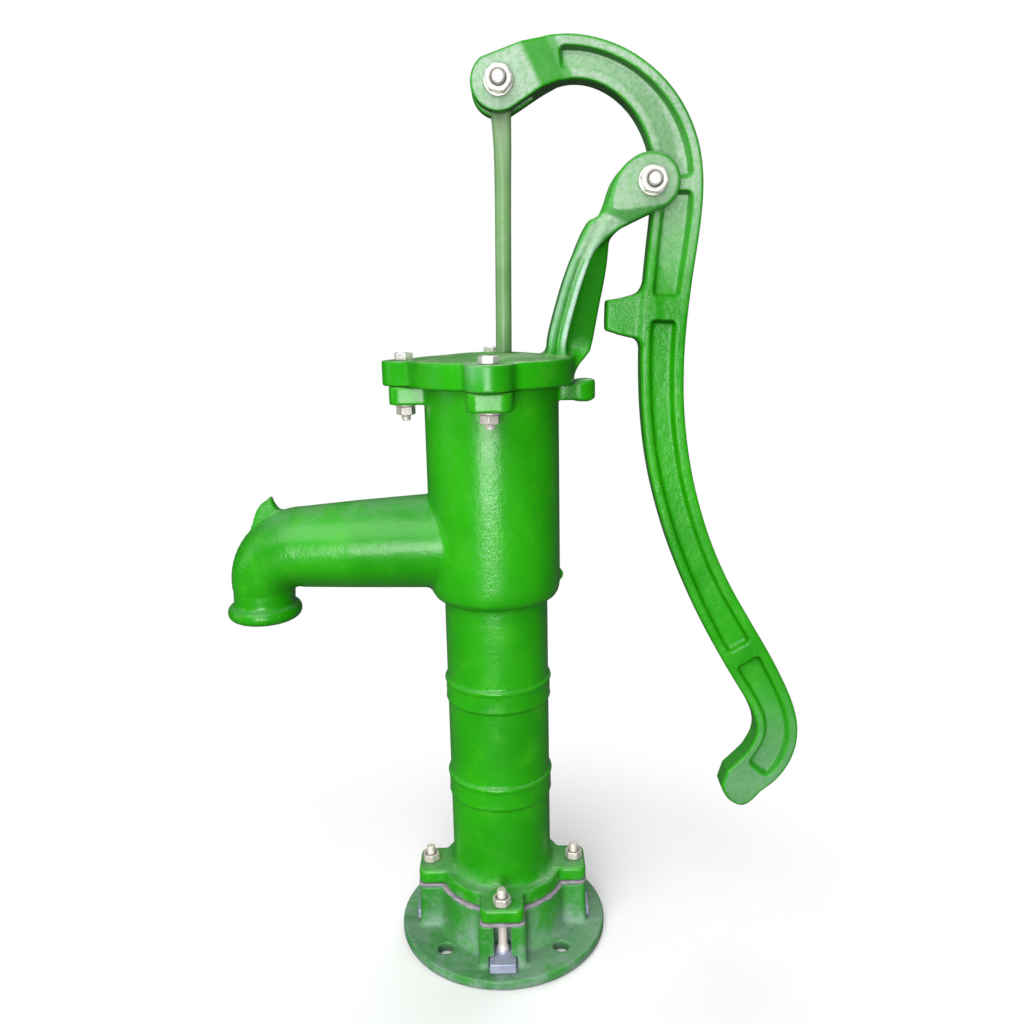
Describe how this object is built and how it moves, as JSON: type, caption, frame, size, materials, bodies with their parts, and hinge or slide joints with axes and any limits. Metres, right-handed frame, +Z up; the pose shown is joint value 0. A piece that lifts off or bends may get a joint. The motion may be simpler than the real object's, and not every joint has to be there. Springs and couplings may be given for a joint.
{
  "type": "hand well pump",
  "caption": "Cast-iron hand lift pump: bolted base, stepped barrel with a down-turned spout, cap with a forked fulcrum stand, curved lever handle, pump rod, leather cup piston and foot valve.",
  "frame": {"origin": "middle of the overall box at the underside of the base flange; the barrel axis stands 14.8 mm towards -X from it", "axes": "+Z up the barrel, -X towards the spout, +X towards the lever, -Y towards the front where the pivot nuts sit"},
  "size_m": [0.4646, 0.176, 0.7147],
  "materials": {
    "green_paint": "gloss enamel over cast iron",
    "green_paint_dusty": "gloss enamel over cast iron, dusty",
    "green_paint_light": "satin enamel over rough cast iron",
    "gasket_leather": "grey oiled leather, clamped edge",
    "valve_leather": "oiled pump leather",
    "forged_steel": "dull forged and plated",
    "zinc_steel": "bright zinc plate",
    "rod_steel": "thin green paint over a forged rod",
    "bare_iron": "bare cast iron",
    "brass": "turned brass"
  },
  "bodies": {
    "stand": {"base_flange": "green_paint_dusty", "base_gasket": "gasket_leather", "pump_barrel": "green_paint", "top_cap": "green_paint", "cap_bolt_left": "zinc_steel", "cap_washer_left": "zinc_steel", "cap_nut_left": "zinc_steel", "cap_bolt_front": "zinc_steel", "cap_washer_front": "zinc_steel", "cap_nut_front": "zinc_steel", "cap_bolt_back": "zinc_steel", "cap_washer_back": "zinc_steel", "cap_nut_back": "zinc_steel", "base_t_bolt_right": "forged_steel", "base_nut_right": "zinc_steel", "base_t_bolt_back": "forged_steel", "base_nut_back": "zinc_steel", "base_t_bolt_left": "forged_steel", "base_nut_left": "zinc_steel", "base_t_bolt_front": "forged_steel", "base_nut_front": "zinc_steel", "fulcrum_washer_front": "zinc_steel", "fulcrum_nut": "zinc_steel", "fulcrum_washer_back": "zinc_steel", "fulcrum_bolt": "zinc_steel"},
    "lever": {"handle": "green_paint_light", "clevis_washer_front": "zinc_steel", "clevis_nut": "zinc_steel", "clevis_washer_back": "zinc_steel", "clevis_bolt": "zinc_steel"},
    "rod": {"pump_rod": "rod_steel"},
    "piston": {"piston_base": "brass", "cup_leather": "valve_leather", "piston_cage": "brass", "piston_pin": "zinc_steel"},
    "poppet": {"poppet_valve": "brass"},
    "foot_valve": {"foot_valve_leather": "valve_leather", "foot_valve_weight": "bare_iron", "foot_valve_plate": "bare_iron", "foot_valve_screw": "brass", "foot_valve_nut": "brass"}
  },
  "joints": [
    {"name": "lever_swing", "type": "hinge", "parent": "stand", "child": "lever", "pos_m": [0.1047, 0, 0.6148], "axis": [0, -1, 0], "range_deg": [-2.5, 50]},
    {"name": "rod_pivot", "type": "hinge", "parent": "lever", "child": "rod", "pos_m": [-0.0043, 0, 0.6834], "axis": [0, -1, 0], "range_deg": [-47.5, 2.5]},
    {"name": "piston_stroke", "type": "slide", "parent": "stand", "child": "piston", "axis": [0, 0, 1], "range_m": [-0.1125, 0.0058]},
    {"name": "poppet_lift", "type": "slide", "parent": "piston", "child": "poppet", "axis": [0, 0, 1], "range_m": [0, 0.005]},
    {"name": "foot_valve_flap", "type": "hinge", "parent": "stand", "child": "foot_valve", "pos_m": [0.0095, 0, 0.0459], "axis": [0, 1, 0], "range_deg": [0, 35]}
  ],
  "couplings": [
    {"joint": "rod_pivot", "follows": "lever_swing", "ratio": -0.942},
    {"joint": "piston_stroke", "follows": "lever_swing", "m_per_rad": -0.1285}
  ]
}
